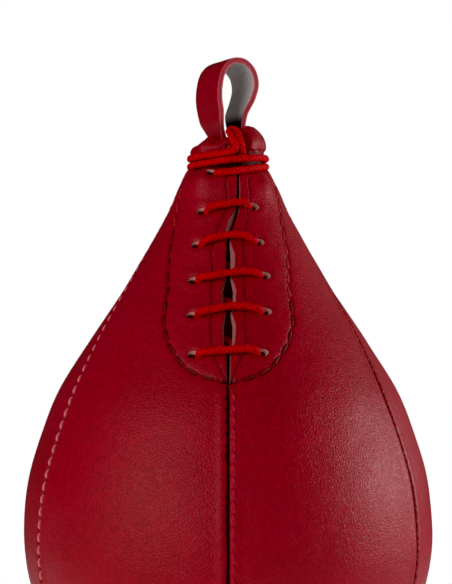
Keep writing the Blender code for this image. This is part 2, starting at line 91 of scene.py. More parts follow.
# Distance from the slit and height of the hole at the top left.
TOP_HOLE = (5.3, -48.6)
LACE_OUTSIDE = 1.95
LACE_INSIDE = -5.5
LACE_IN_LINING = -3.4
LACE_IN_LEATHER = -0.4
LACE_CROSSING = -5.3
LACE_ARCH = 3.1
LACE_OVER_STITCH = 2.85
LACE_CLIMB = 1.5
LACE_BEND = 2.6
TIE_DEG = (90, 690)
TIE_STEP_DEG = 30
TIE_RADIUS = 16.6
TIE_LOW_Z = -44.3
TIE_HIGH_Z = -40.8
TIE_CROSSING_DEG = (290.0, 450.0)
TIE_BULGE = 2.9
TIE_BULGE_DEG = 380.0
TIE_BULGE_WIDTH_DEG = 26.0
KNOT_RADIUS = 2.5
KNOT_DROP = 7.4

LOOP_TURN_DEG = 30.0
STRAP_THICKNESS = 2.6


def ease(low, high, value):
    """0 at low and beyond, 1 at high and beyond; low may be the larger."""
    t = np.clip((value - low) / (high - low), 0.0, 1.0)
    return t * t * (3.0 - 2.0 * t)


def bell(distance, width):
    return np.exp(-(distance / width) ** 2)


def waves(value, terms):
    """Sum of sines, each given by its height, rate and phase."""
    return sum(height * np.sin(value * rate + phase) for height, rate, phase in terms)


def unit(vectors):
    return vectors / np.linalg.norm(vectors, axis=1)[:, None]


def ellipse_knots():
    start = math.asin((ELLIPSE_START_Z - EQUATOR_Z) / UPPER_SEMI_AXIS)
    last = -math.acos(POLE_RADIUS / BAG_RADIUS)
    angles = [start, start / 2.0] + [last * i / 9 for i in range(10)]
    knots = []
    for angle in angles:
        semi = UPPER_SEMI_AXIS if angle > 0.0 else LOWER_SEMI_AXIS
        knots.append((BAG_RADIUS * math.cos(angle), EQUATOR_Z + semi * math.sin(angle)))
    return knots


def smooth_curve(points):
    """Lengths of the points along a smooth curve through them, and the curve's function."""
    points = [Vector(p) for p in points]
    knots = [0.0]
    for a, b in zip(points, points[1:]):
        knots.append(knots[-1] + (b - a).length)
    last = len(points) - 1
    slopes = []
    for i in range(last + 1):
        low, high = max(0, i - 1), min(last, i + 1)
        slopes.append((points[high] - points[low]) / (knots[high] - knots[low]))

    def at(length):
        i = 0
        while i < last - 1 and knots[i + 1] < length:
            i += 1
        span = knots[i + 1] - knots[i]
        t = (length - knots[i]) / span
        a = (1 + 2 * t) * (1 - t) ** 2 * points[i] + t * t * (3 - 2 * t) * points[i + 1]
        b = t * (1 - t) ** 2 * span * slopes[i] - t * t * (1 - t) * span * slopes[i + 1]
        return a + b

    return knots, at


KNOT_LENGTHS, MERIDIAN = smooth_curve(list(THROAT_OUTLINE) + ellipse_knots())
TOTAL_LENGTH = KNOT_LENGTHS[-1]
TABLE_LENGTHS = np.linspace(0.0, TOTAL_LENGTH, 2400)
TABLE_POINTS = np.array([MERIDIAN(length) for length in TABLE_LENGTHS])
TABLE_TANGENTS = unit(np.gradient(TABLE_POINTS, axis=0))


def radius_at(length):
    return np.interp(length, TABLE_LENGTHS, TABLE_POINTS[:, 0])


def height_at(length):
    return np.interp(length, TABLE_LENGTHS, TABLE_POINTS[:, 1])


def length_at(z):
    return np.interp(-np.asarray(z, dtype=float), -TABLE_POINTS[:, 1], TABLE_LENGTHS)


def surface(length, angle, depth):
    """Points of the bag's surface moved along the normal by depth; arrays of any one shape."""
    nr = -np.interp(length, TABLE_LENGTHS, TABLE_TANGENTS[:, 1])
    nz = np.interp(length, TABLE_LENGTHS, TABLE_TANGENTS[:, 0])
    radius = radius_at(length) + nr * depth
    z = height_at(length) + nz * depth
    return np.stack([radius * np.sin(angle), -radius * np.cos(angle), z], axis=-1)


def throat(across, z, depth):
    length = length_at(z)
    return Vector(surface(length, across / radius_at(length), depth))


def around(radius, angle, z):
    return Vector((radius * math.sin(angle), -radius * math.cos(angle), z))


def seam_angle(index, z):
    angle, spread = SEAM_ANGLES_DEG[index]
    return np.radians(angle + spread * ease(SPREAD_LOW_Z, SPREAD_HIGH_Z, z))


def facing_stitch_width(z):
    drop = np.clip((FACING_CORNER_Z - z) / (FACING_CORNER_Z - FACING_TIP_Z), 0.0, 1.0)
    return FACING_STITCH_WIDTH * (1.0 - drop ** FACING_ROUNDNESS) ** (1.0 / FACING_ROUNDNESS)


# ---------- materials

RAMP_LOW = 0.3
RAMP_HIGH = 0.7
FINE_SCALE = 0.0004
# Near-black painted shade for grooves, seams, needle and lace holes and the leather under the tie; on the
# strap it also colours the crease beside each edge.
PAINTED_SHADE_AND_CREASE_COLOUR = (0.018, 0.001, 0.003)
ROUGHNESS_SPREAD = 0.16
PEBBLES_PER_METRE = 980.0
PEBBLE_WARP = 0.0007
WHITE = (1.0, 1.0, 1.0)
PALE_GREY = (0.8, 0.8, 0.8)
DRY = {"Roughness": 0.85, "Specular IOR Level": 0.2}


def new_material(name):
    """A material, its shader and the object's own coordinates."""
    made = bpy.data.materials.new(name)
    made.use_nodes = True
    tree = made.node_tree
    place = tree.nodes.new("ShaderNodeTexCoord").outputs["Object"]
    return made, tree.nodes["Principled BSDF"], place


def new_node(near, kind):
    """A new shader node in the node tree that another node's output belongs to."""
    return near.id_data.nodes.new("ShaderNode" + kind)


def set_inputs(node, values):
    """Give inputs a value, or link them to another node's output; colours are opaque."""
    for name, value in values.items():
        socket = node.inputs[name]
        if isinstance(value, bpy.types.NodeSocket):
            node.id_data.links.new(value, socket)
        else:
            socket.default_value = (*value, 1.0) if socket.type == "RGBA" else value
    return node


def noise(place, scale, detail=4.0, roughness=0.55):
    node = new_node(place, "TexNoise")
    set_inputs(node, {"Vector": place, "Scale": scale, "Detail": detail, "Roughness": roughness})
    return node.outputs["Fac"]


def ramp(factor, low, high, start=RAMP_LOW, end=RAMP_HIGH):
    """Colour from low to high as the factor goes from start to end."""
    node = set_inputs(new_node(factor, "ValToRGB"), {"Fac": factor})
    for element, position, colour in zip(node.color_ramp.elements, (start, end), (low, high)):
        element.position = position
        element.color = (*colour, 1.0)
    return node.outputs["Color"]


def math_node(operation, *values):
    node = set_inputs(new_node(values[0], "Math"), dict(enumerate(values)))
    node.operation = operation
    return node.outputs["Value"]


def mix_colour(factor, a, b, blend="MIX"):
    node = new_node(a, "Mix")
    node.data_type = "RGBA"
    node.blend_type = blend
    return set_inputs(node, {0: factor, 6: a, 7: b}).outputs[2]


def bump(height, distance, strength, below=None):
    inputs = {"Height": height, "Distance": distance, "Strength": strength}
    if below is not None:
        inputs["Normal"] = below
    return set_inputs(new_node(height, "Bump"), inputs).outputs["Normal"]


def read_painted_shade_and_lines(place):
    # Reads the painted shade, and the strap's crease and ply lines, that the meshes carry.
    node = new_node(place, "Attribute")
    node.attribute_name = "painted_shade_and_lines"
    return node.outputs["Fac"]


def fibre_look(name, low, high, fibre, relief, inputs, painted_shade_and_lines=None, end=RAMP_HIGH, mottle=None):
    """Two colours mixed by a fine noise that also roughens the surface; points marked in
    painted_shade_and_lines take the darker colour, as painted shade or a dark line.

    fibre is the noise's scale, detail and roughness, relief the bump's distance and strength.
    """
    made, shader, place = new_material(name)
    height = noise(place, *fibre)
    colour = ramp(height, low, high, end=end)
    if mottle is not None:
        shade = ramp(noise(place, mottle, 3.0), PALE_GREY, WHITE)
        colour = mix_colour(1.0, colour, shade, "MULTIPLY")
    # Painted shade, or a dark line, where the mesh's attribute marks it.
    if painted_shade_and_lines is not None:
        colour = mix_colour(read_painted_shade_and_lines(place), colour, painted_shade_and_lines)
    set_inputs(shader, {"Base Color": colour, "Normal": bump(height, *relief), **inputs})
    return made


def leather_grain(place, grain):
    """Normal of pebbled leather: cells of uneven outline over broader wrinkles."""
    warp_noise = set_inputs(new_node(place, "TexNoise"), {"Vector": place, "Scale": 700.0})
    warp = new_node(place, "VectorMath")
    warp.operation = "MULTIPLY_ADD"
    set_inputs(warp, {0: warp_noise.outputs["Color"], 1: (PEBBLE_WARP,) * 3, 2: place})
    cells = new_node(place, "TexVoronoi")
    cells.feature = "DISTANCE_TO_EDGE"
    set_inputs(cells, {"Vector": warp.outputs["Vector"], "Scale": PEBBLES_PER_METRE})
    pebble = math_node("MINIMUM", cells.outputs["Distance"], 0.28)
    normal = bump(noise(place, 260.0, 6.0, 0.62), 0.0006, grain * 0.6)
    return bump(pebble, FINE_SCALE, grain, normal)


def leather_material(name, base, dark, roughness, grain):
    """Semi-gloss dyed leather: pebble grain, fine pores, uneven shine, and painted shade in grooves (on the
    strap also a darker crease line).
    """
    made, shader, place = new_material(name)
    colour = ramp(noise(place, 28.0, 3.0), dark, base)
    pores = ramp(noise(place, 420.0, 5.0, 0.6), PALE_GREY, WHITE, 0.35, 0.65)
    colour = mix_colour(1.0, colour, pores, "MULTIPLY")
    # Painted shade in grooves, seams and holes, read from the mesh; it also makes them rougher.
    painted_shade_and_lines = read_painted_shade_and_lines(place)
    lowest = roughness - ROUGHNESS_SPREAD / 2.0
    varied = math_node("MULTIPLY_ADD", noise(place, 160.0), ROUGHNESS_SPREAD, lowest)
    set_inputs(shader, {
        "Base Color": mix_colour(painted_shade_and_lines, colour, PAINTED_SHADE_AND_CREASE_COLOUR),
        "Roughness": math_node("MAXIMUM", varied, math_node("MULTIPLY", painted_shade_and_lines, 0.8)),
        "Normal": leather_grain(place, grain),
        "Specular IOR Level": 0.22,
        "Specular Tint": (1.0, 0.6, 0.6),
    })
    return made


def cut_edge_material(name, dark, pale):
    """Undyed core of cut leather, fibrous and pale."""
    return fibre_look(name, dark, pale, (1400.0, 6.0, 0.7), (FINE_SCALE, 0.8), DRY)


def strap_edge_material():
    """Inked cut edge of the strap, with a line between its two plies."""
    return fibre_look(
        "strap_edge", (0.40, 0.02, 0.035), (0.60, 0.06, 0.085), (900.0, 6.0, 0.7), (FINE_SCALE, 0.6),
        {"Roughness": 0.5, "Specular IOR Level": 0.2}, painted_shade_and_lines=(0.16, 0.006, 0.012), end=0.75,
    )


def flesh_side_material():
    """Grey flesh side of the strap, with painted shade where it runs into the neck."""
    return fibre_look(
        "strap_flesh_side", (0.28, 0.245, 0.24), (0.48, 0.43, 0.42), (1100.0, 6.0, 0.7),
        (FINE_SCALE, 0.6), DRY, painted_shade_and_lines=(0.006, 0.002, 0.002),
    )


def thread_material(name, low, high, roughness=0.5):
    return fibre_look(name, low, high, (2600.0, 4.0, 0.6), (0.0002, 0.7), {
        "Roughness": roughness,
        "Specular IOR Level": 0.35,
        "Specular Tint": (1.0, 0.28, 0.24),
        "Sheen Weight": 0.05,
        "Sheen Tint": high,
    })


def lace_material():
    """Bright braided cord, uneven in tone, with painted shade between its strands."""
    sheen = {
        "Roughness": 0.62,
        "Specular IOR Level": 0.05,
        "Sheen Weight": 0.03,
        "Sheen Tint": (1.0, 0.03, 0.03),
    }
    return fibre_look(
        "lace_cord", (0.42, 0.0, 0.002), (0.74, 0.001, 0.008), (3200.0, 5.0, 0.65), (0.00025, 0.8),
        sheen, painted_shade_and_lines=(0.17, 0.0, 0.002), mottle=300.0,
    )


def woven_material(name, low, high, scale):
    """Crossed bands of threads."""
    made, shader, place = new_material(name)
    bands = []
    for axis in ("X", "Z"):
        wave = new_node(place, "TexWave")
        wave.bands_direction = axis
        set_inputs(wave, {"Vector": place, "Scale": scale, "Distortion": 1.2})
        bands.append(wave.outputs["Fac"])
    weave = math_node("MULTIPLY", *bands)
    colour = ramp(weave, low, high, 0.0, 0.6)
    normal = bump(weave, 0.0003, 0.7)
    set_inputs(shader, {"Base Color": colour, "Normal": normal, "Roughness": 0.9})
    return made


def rubber_material(name, low, high, roughness):
    return fibre_look(name, low, high, (180.0, 4.0, 0.55), (FINE_SCALE, 0.3), {"Roughness": roughness})


MATERIALS = {
    "leather": leather_material("panel_leather", (0.345, 0.0004, 0.0115), (0.30, 0.0004, 0.0085), 0.41, 0.62),
    "strap": leather_material("strap_leather", (0.29, 0.0008, 0.0095), (0.24, 0.0008, 0.007), 0.44, 0.28),
    "split": leather_material("facing_leather", (0.10, 0.004, 0.008), (0.06, 0.002, 0.004), 0.7, 0.8),
    # The tongue is a brighter copy of the red leather: painted light where it shows in the shaded slit.
    "tongue": leather_material("tongue_leather_painted_light", (0.42, 0.006, 0.012), (0.28, 0.003, 0.008), 0.8, 0.8),
    "cut": cut_edge_material("cut_leather_edge", (0.24, 0.055, 0.05), (0.42, 0.15, 0.14)),
    # Paler copy of the cut edge for the lace holes' walls: painted light where the holes are shaded.
    "rim": cut_edge_material("hole_rim_painted_light", (0.42, 0.16, 0.13), (0.72, 0.36, 0.32)),
    "strap_edge": strap_edge_material(),
    "flesh": flesh_side_material(),
    "thread": thread_material("seam_thread", (0.20, 0.002, 0.010), (0.36, 0.02, 0.035)),
    # Paler copy of the seam thread for the left side seam: painted highlight of the light on that side.
    "pale_thread": thread_material("side_seam_thread_painted_highlight", (0.55, 0.09, 0.12), (0.75, 0.20, 0.24)),
    "bright_thread": thread_material("centre_seam_thread", (0.26, 0.0, 0.006), (0.50, 0.006, 0.02)),
    "dark_thread": thread_material("facing_thread", (0.07, 0.002, 0.003), (0.20, 0.010, 0.010)),
    # Redder, brighter copy of the facing thread for its upper stitches: painted highlight where the light
    # catches them.
    "red_thread": thread_material("upper_facing_thread_painted_highlight", (0.22, 0.006, 0.010), (0.58, 0.028, 0.026)),
    "fine_thread": thread_material("slit_thread", (0.10, 0.001, 0.003), (0.26, 0.012, 0.014), 0.6),
    "lace": lace_material(),
    "lining": woven_material("lining_cloth", (0.30, 0.27, 0.22), (0.55, 0.5, 0.44), 900.0),
    "tape": woven_material("seam_tape", (0.02, 0.02, 0.02), (0.08, 0.08, 0.08), 700.0),
    "bladder": rubber_material("bladder_rubber", (0.035, 0.035, 0.04), (0.07, 0.07, 0.075), 0.55),
    "valve": rubber_material("valve_rubber", (0.012, 0.012, 0.012), (0.03, 0.03, 0.03), 0.45),
}


# ---------- mesh helpers

def link(name, data):
    """A new object in the scene."""
    item = bpy.data.objects.new(name, data)
    bpy.context.scene.collection.objects.link(item)
    return item


def add_mesh(name, vertices, faces, materials, face_materials=None, painted_shade_and_lines=None):
    """A mesh object in metres; face_materials indexes the materials, and painted_shade_and_lines darkens
    points: painted shade, and on the strap also its crease and ply lines.
    """
    mesh = bpy.data.meshes.new(name)
    mesh.from_pydata((np.asarray(vertices) * MM).tolist(), [], faces)
    for key in materials:
        mesh.materials.append(MATERIALS[key])
    if face_materials is not None:
        mesh.polygons.foreach_set("material_index", face_materials)
    # Point attribute of painted shade, with the strap's crease and ply lines, for the materials to darken by.
    if painted_shade_and_lines is not None:
        layer = mesh.attributes.new("painted_shade_and_lines", "FLOAT", "POINT")
        layer.data.foreach_set("value", np.asarray(painted_shade_and_lines, dtype=np.float32))
    mesh.shade_smooth()
    mesh.set_sharp_from_angle(angle=math.radians(50.0))
    return link(name, mesh)


def grid_faces(rows, columns, start, flip):
    """Quads of one grid of points, numbered row by row from start."""
    i, j = np.meshgrid(np.arange(rows - 1), np.arange(columns - 1), indexing="ij")
    a = start + i * columns + j
    quads = np.stack([a, a + columns, a + columns + 1, a + 1], axis=-1).reshape(-1, 4)
    if flip:
        quads = quads[:, ::-1]
    return quads.tolist()


def tube_faces(rings, sides, flip=False):
    """Quads between the rings of a tube, numbered ring by ring, and a cap at each end."""
    faces = []
    for a in range(0, (rings - 1) * sides, sides):
        b = a + sides
        for j in range(sides):
            k = (j + 1) % sides
            faces.append((a + j, a + k, b + k, b + j) if flip else (a + j, b + j, b + k, a + k))
    caps = [tuple(range(sides)), tuple(range(rings * sides - 1, (rings - 1) * sides - 1, -1))]
    return faces + ([cap[::-1] for cap in caps] if flip else caps)


def joined(bodies):
    """Vertices and faces of several bodies as those of one mesh."""
    faces = []
    base = 0
    for vertices, quads in bodies:
        faces += [tuple(base + n for n in face) for face in quads]
        base += len(vertices)
    return np.concatenate([vertices for vertices, _ in bodies]), faces


def running_length(steps):
    return np.concatenate([[0.0], np.cumsum(steps)])


def shell_mesh(name, outer, inner, painted_shade_and_lines, first_cut, mirrored):
    """Closed shell between two grids; the top rim is cut leather, and the first column if first_cut."""
    rows, columns = outer.shape[:2]
    count = rows * columns
    vertices = np.concatenate([outer.reshape(-1, 3), inner.reshape(-1, 3)])
    faces = grid_faces(rows, columns, 0, mirrored) + grid_faces(rows, columns, count, not mirrored)
    kinds = [0] * len(faces)
    rim = [(0, j) for j in range(columns)]
    rim += [(i, columns - 1) for i in range(1, rows)]
    rim += [(rows - 1, j) for j in range(columns - 2, -1, -1)]
    rim += [(i, 0) for i in range(rows - 2, 0, -1)]
    for here, there in zip(rim, rim[1:] + rim[:1]):
        a = here[0] * columns + here[1]
        b = there[0] * columns + there[1]
        quad = [a, b, b + count, a + count]
        faces.append(quad[::-1] if mirrored else quad)
        on_cut = first_cut and here[1] == there[1] == 0
        kinds.append(1 if on_cut or here[0] == there[0] == 0 else 0)
    painted_shade_and_lines = np.concatenate([painted_shade_and_lines.reshape(-1), np.zeros(count)])
    return add_mesh(name, vertices, faces, ("leather", "cut"), kinds, painted_shade_and_lines)


def apply_modifiers(item):
    """Replace the mesh by its evaluated form, with no modifier left on it."""
    evaluated = item.evaluated_get(bpy.context.evaluated_depsgraph_get())
    old = item.data
    item.data = bpy.data.meshes.new_from_object(evaluated)
    item.modifiers.clear()
    bpy.data.meshes.remove(old)


# ---------- leather panels

SLIT_SHIFT = 4.3
SHIFT_BOTTOM_Z = -79.0
SHIFT_TOP_Z = -62.0


def slit_centre(z):
    """The slit leans to the right where the neck is gathered."""
    return SLIT_SHIFT * ease(SHIFT_BOTTOM_Z, SHIFT_TOP_Z, z)


# Height, half of the dark gap, and how far the cut face of the left and of the right side leans open.
SLIT_SHAPE = (
    (-136.0, 0.0, 0.0, 0.0), (-132.5, 0.3, 0.3, 0.3), (-123.5, 0.45, 0.4, 0.4),
    (-119.0, 1.35, 0.7, 1.1), (-113.0, 1.6, 0.7, 1.3), (-107.8, 0.7, 0.3, 0.6),
    (-103.5, 1.7, 0.7, 1.1), (-98.5, 1.85, 0.9, 1.2), (-93.5, 0.7, 0.3, 0.6),
    (-88.0, 0.85, 0.1, 1.7), (-84.0, 0.75, 0.1, 1.8), (-79.0, 0.4, 0.3, 0.5),
    (-74.0, 0.45, 1.5, 0.1), (-69.0, 0.5, 1.7, 0.1), (-64.0, 0.4, 0.4, 0.1),
    (-55.0, 0.45, 0.1, 0.2), (-48.0, 0.3, 0.1, 0.1), (-31.0, 0.3, 0.1, 0.1),
)


def slit_shape(z, column):
    heights = [row[0] for row in SLIT_SHAPE]
    values = [row[column] for row in SLIT_SHAPE]
    waver = waves(z, ((0.05, 1.9, column), (0.04, 4.3, 2.0 * column)))
    shape = np.interp(z, heights, values) + waver * ease(SLIT_TIP_Z, SLIT_TIP_Z + 4.0, z)
    return np.maximum(shape, 0.0)


def polyline_distance(u, v, line_u, line_v):
    """Distance of each point to a polyline, and how far along it the nearest point is."""
    best = np.full(u.shape, np.inf)
    along = np.zeros(u.shape)
    travelled = 0.0
    for au, av, bu, bv in zip(line_u, line_v, line_u[1:], line_v[1:]):
        du, dv = bu - au, bv - av
        span = math.hypot(du, dv)
        t = np.clip(((u - au) * du + (v - av) * dv) / (span * span), 0.0, 1.0)
        distance = np.hypot(u - au - t * du, v - av - t * dv)
        closer = distance < best
        best = np.where(closer, distance, best)
        along = np.where(closer, travelled + t * span, along)
        travelled += span
    return best, along


# Where the seams between panels begin, below the tie.
SEAM_HIGH_Z = -46.0
SEAM_LOW_Z = -52.0
FACING_TOP_Z = -53.0
FACING_TIP_DIP = 1.0
FACING_WANDER = ((0.35, 0.21, 1.0), (0.2, 0.55, 0.0))
SIDE_SEAM_MARGIN = 3.0
SLIT_STITCH_TOP_Z = -50.0
SLIT_STITCH_TIP_WIDTH = 0.9


def facing_outline():
    """The facing's stitch line on one side: arc distance from the slit and length down the outline."""
    top = length_at(FACING_TOP_Z)
    tip = length_at(FACING_TIP_Z)
    lengths = top + (tip - top) * np.sin(np.linspace(0.0, np.pi / 2.0, 70))
    z = height_at(lengths)
    width = np.minimum(facing_stitch_width(z), radius_at(lengths) * seam_angle(1, z) - SIDE_SEAM_MARGIN)
    width_with_wander = width + waves(lengths, FACING_WANDER) * ease(2.0, 12.0, width)
    return width_with_wander, lengths + FACING_TIP_DIP * bell(width, 4.0)


def slit_stitch_line(side):
    """The stitch line along one edge of the slit, as facing_outline gives it."""
    lengths = np.linspace(length_at(SLIT_STITCH_TOP_Z), length_at(FACING_TIP_Z), 60)
    z = height_at(lengths)
    closing = ease(FACING_TIP_Z + 13.0, FACING_TIP_Z - 1.0, z)
    width = SLIT_STITCH_TIP_WIDTH + (SLIT_STITCH_WIDTH - SLIT_STITCH_TIP_WIDTH) * (1.0 - closing)
    width -= (SLIT_STITCH_WIDTH - SLIT_STITCH_TOP_WIDTH) * ease(-85.0, -62.0, z)
    waver = waves(z, ((0.3, 0.42, 1.3 * side), (0.18, 1.1, 2.0 * side)))
    return width + waver * (1.0 - closing), lengths


# Rates across and down, and phase, of each wave in the leather's unevenness.
RIPPLES = ((0.11, 0.07, 0.3), (0.06, 0.13, 1.9), (0.19, 0.04, 4.0), (0.16, 0.21, 2.2), (0.31, 0.12, 0.7))
RIPPLE_HEIGHT = 0.07


def ripple(u, v):
    """Gentle unevenness of hand-stretched leather."""
    total = 0.0
    for i, (fu, fv, phase) in enumerate(RIPPLES):
        total += np.sin(u * fu + v * fv + phase) / (1.0 + 0.5 * i)
    return total * RIPPLE_HEIGHT


NECK_FOLDS = ((0.28, 9.0, 0.6), (0.2, 14.0, 2.0))
VALLEY_DEPTH = 2.3
VALLEY_DEG = 13.0
VALLEY_WIDTH_DEG = 14.0
CREASE_DEPTH = 0.9
CREASE_ANGLE = 0.9
CREASE_Z = -38.3
CREASE_SLOPE = 1.6
# Swells below the tie and hollows above it: height, place up the neck and its reach, angle and its reach.
NECK_SPOTS = (
    (2.3, -52.0, 5.2, -0.62, 0.40),
    (1.3, -53.5, 5.0, 0.80, 0.36),
    (-1.6, -33.6, 2.6, 0.52, 0.12),
    (-1.5, -36.6, 1.3, -0.03, 0.10),
)


def neck_relief(angle, z):
    """Gathers under the tie, the valley that the lace's end lies in, and wrinkles above the tie."""
    below = ease(-66.0, -49.0, z) * (1.0 - ease(-48.0, -46.0, z))
    above = ease(-41.5, -37.5, z)
    gathers = waves(angle, ((0.45, 8.0, 1.2), (0.3, 13.0, z * 0.35)))
    gathers *= (1.0 - 0.75 * ease(-34.5, -31.5, z))
    wrinkles = 0.3 * bell(z + 38.0, 2.2) * (1.0 - np.cos(angle)) ** 0.5
    wrinkles *= np.sin(z * 2.9 + 3.0 * np.sin(angle * 2.0))
    valley = -VALLEY_DEPTH * bell(angle - math.radians(VALLEY_DEG), math.radians(VALLEY_WIDTH_DEG)) * above
    snug = 0.5 * bell(z + 42.5, 3.0) + 1.5 * bell(z + 47.0, 1.2) * ease(0.9, 1.5, np.abs(angle))
    crease_z = CREASE_Z + CREASE_SLOPE * (angle - CREASE_ANGLE)
    crease = -CREASE_DEPTH * bell(z - crease_z, 0.55) * bell(angle - CREASE_ANGLE, 0.4)
    total = below * waves(angle, NECK_FOLDS) + above * gathers + wrinkles + valley + snug + crease
    for height, middle_z, reach_z, middle_angle, reach_angle in NECK_SPOTS:
        total += height * bell(z - middle_z, reach_z) * bell(angle - middle_angle, reach_angle)
    return total


SHOULDER_LIFT = 4.6


def shoulder_lift(angle, z):
    """How far the gathered top stands up: high at the right, low at the left."""
    right = ease(0.0, 0.75, np.sin(angle)) * SHOULDER_LIFT * ease(-36.5, -31.2, z)
    left = ease(-0.15, 0.6, -np.sin(angle))
    sag = 2.4 * bell(z + 36.8, 2.4) - 0.9 * ease(-33.0, -31.3, z)
    sag += 3.2 * ease(-36.5, -31.5, z) * bell(angle + 0.30, 0.36)
    sag += 2.6 * ease(-38.0, -32.5, z) * ease(0.66, 0.97, -np.sin(angle))
    return right - left * sag


def hole_places(side):
    """Arc distance and height of the lace holes on one side, the top one first."""
    if side > 0:
        return [(row[3], row[2]) for row in LACE_ROWS]
    return [TOP_HOLE] + [(row[1], row[0]) for row in LACE_ROWS]


def stitch_share(along, pitch, share):
    """1 under each stitch and 0 between two, with soft ends."""
    off = np.abs(np.mod(along, pitch) / pitch - 0.5)
    return 1.0 - ease(share / 2.0 - 0.06, share / 2.0 + 0.06, off)


def centre_notches(side, from_seam, length):
    """Needle holes beside the centre seam on its left lip, and the bar tack at the slit's foot."""
    start = length_at(SLIT_TIP_Z + 1.8)
    near = 1.0 - ease(0.10, 0.22, np.abs(np.mod((length - start) / CENTRE_PITCH, 1.0) - 0.5))
    notches = near * bell(from_seam - 0.45, 0.55) * (length > start) * (side < 0)
    bar_tack = bell(length - start + 0.4, 0.7) * (1.0 - ease(1.3, 1.9, from_seam))
    return np.maximum(notches, bar_tack)


FACING_GROOVE_DEPTH = 0.75
FACING_RAISED = 0.15
SLIT_GROOVE_DEPTH = 0.35
HOLE_DIMPLE_DEPTH = 0.7
HOLE_DIMPLE_REACH = 2.0
HOLE_OVAL = 1.35
LACE_PULL = 0.3


def facing_relief(across, length):
    """Groove under the facing's stitches, the step up to the doubled leather inside them, and painted shade
    in the groove.
    """
    line_u, line_v = facing_outline()
    distance, along = polyline_distance(across, length, line_u, line_v)
    dash = stitch_share(along, FACING_PITCH, FACING_SHARE)
    height = -FACING_GROOVE_DEPTH * bell(distance, 0.75) * (0.25 + 0.75 * dash) - 0.12 * bell(distance, 2.6)
    inside = (across < np.interp(length, line_v, line_u)) & (length < line_v[-1])
    height += np.where(inside, FACING_RAISED, 0.0) * (1.0 - bell(distance, 3.5))
    return height, 0.95 * bell(distance, 0.62) * (0.15 + 0.85 * dash), inside


def front_relief(side, u, length, z):
    """Height of the front panels' surface and the painted shade of each point."""
    across = side * u
    height, painted_shade_and_lines, inside = facing_relief(across, length)
    line_u, line_v = slit_stitch_line(side)
    distance, along = polyline_distance(across - side * slit_centre(z), length, line_u, line_v)
    dash = stitch_share(along, SLIT_PITCH, SLIT_SHARE)
    height -= SLIT_GROOVE_DEPTH * bell(distance, 0.6) * (0.4 + 0.6 * dash)
    # Painted shade in the slit's stitch groove.
    painted_shade_and_lines = np.maximum(painted_shade_and_lines, 0.6 * bell(distance, 0.4))
    for hole_across, hole_z in hole_places(side):
        off_down = length - length_at(hole_z)
        off = np.hypot((across - hole_across - HOLE_OUTWARD) / HOLE_OVAL, off_down)
        dimple = bell(off, HOLE_DIMPLE_REACH)
        height = height - HOLE_DIMPLE_DEPTH * dimple + 0.2 * bell(off - 3.6, 1.5)
        # Painted shade in each lace hole's dimple.
        painted_shade_and_lines = np.maximum(painted_shade_and_lines, 0.3 * dimple)
        pull = bell(off_down, 1.6) * ease(0.0, 3.0, hole_across - across)
        height -= LACE_PULL * pull * inside
    return height, painted_shade_and_lines


EDGE_RADIUS = 1.25
TOP_EDGE_RADIUS = 1.5


def edge_roll(distance, radius=EDGE_RADIUS):
    """Drop of a turned-in edge as a quarter round."""
    inside = np.clip(distance, 0.0, radius)
    return np.sqrt(np.maximum(radius * radius - (radius - inside) ** 2, 0.0)) - radius


# Length down the outline where each spacing of the mesh's rows begins, and the spacing.
ROW_SPACINGS = ((0.0, 0.55), (30.0, 0.95), (150.0, 2.2), (235.0, 3.6))
COARSER_PANEL = 1.7
FRONT_COLUMNS = 120
PANEL_COLUMNS = 64
COLUMN_CROWDING = 0.65


def panel_rows(index):
    coarse = 1.0 if index == 0 else COARSER_PANEL
    starts = [start for start, _ in ROW_SPACINGS] + [TOTAL_LENGTH]
    lengths = []
    for (start, step), end in zip(ROW_SPACINGS, starts[1:]):
        count = max(2, round((end - start) / (step * coarse)))
        lengths += list(np.linspace(start, end, count, endpoint=False))
    return np.array(lengths + [TOTAL_LENGTH])


def column_shares(count):
    """Shares across a panel, closer together near its edges."""
    s = np.linspace(0.0, 1.0, count)
    return (1.0 - COLUMN_CROWDING) * s + COLUMN_CROWDING * (0.5 - 0.5 * np.cos(np.pi * s))


def panel_grid(index, side):
    """Length down the outline, height and angle of a panel's points, and their distances to its edges."""
    shares = column_shares(FRONT_COLUMNS if index == 0 else PANEL_COLUMNS)[None, :]
    length = panel_rows(index)[:, None] + 0.0 * shares
    z = height_at(length)
    radius = radius_at(length)
    start_gap = SEAM_GAP / 2.0 + 0.0 * z
    if index == 0:
        throat_open = ease(SLIT_TIP_Z - 1.0, SLIT_TIP_Z + 3.0, z)
        start_gap = SEAM_GAP / 2.0 + slit_shape(z, 1) + side * slit_centre(z) * throat_open
    first = seam_angle(index, z) + np.arcsin(np.clip(start_gap / radius, -1.0, 1.0))
    last = seam_angle(index + 1, z) - np.arcsin(SEAM_GAP / 2.0 / radius)
    angle = first + (last - first) * shares
    return length, z, angle, (angle - first) * radius, (last - angle) * radius


def slit_edge(side, from_first, length, seam_below):
    """Height, painted shade and outward lean that the slit and the centre seam give the front panels."""
    notch = centre_notches(side, from_first, length)
    slit = 1.0 - seam_below
    height = (0.25 * bell(from_first, 1.1) - 0.35 * bell(from_first, 0.5)) * slit - 0.9 * notch
    lean = slit_shape(height_at(length), 2 if side < 0 else 3) * slit
    # The needle holes and the bar tack are dipped and take painted shade.
    return height, 0.97 * notch, bell(from_first, 2.6) * lean


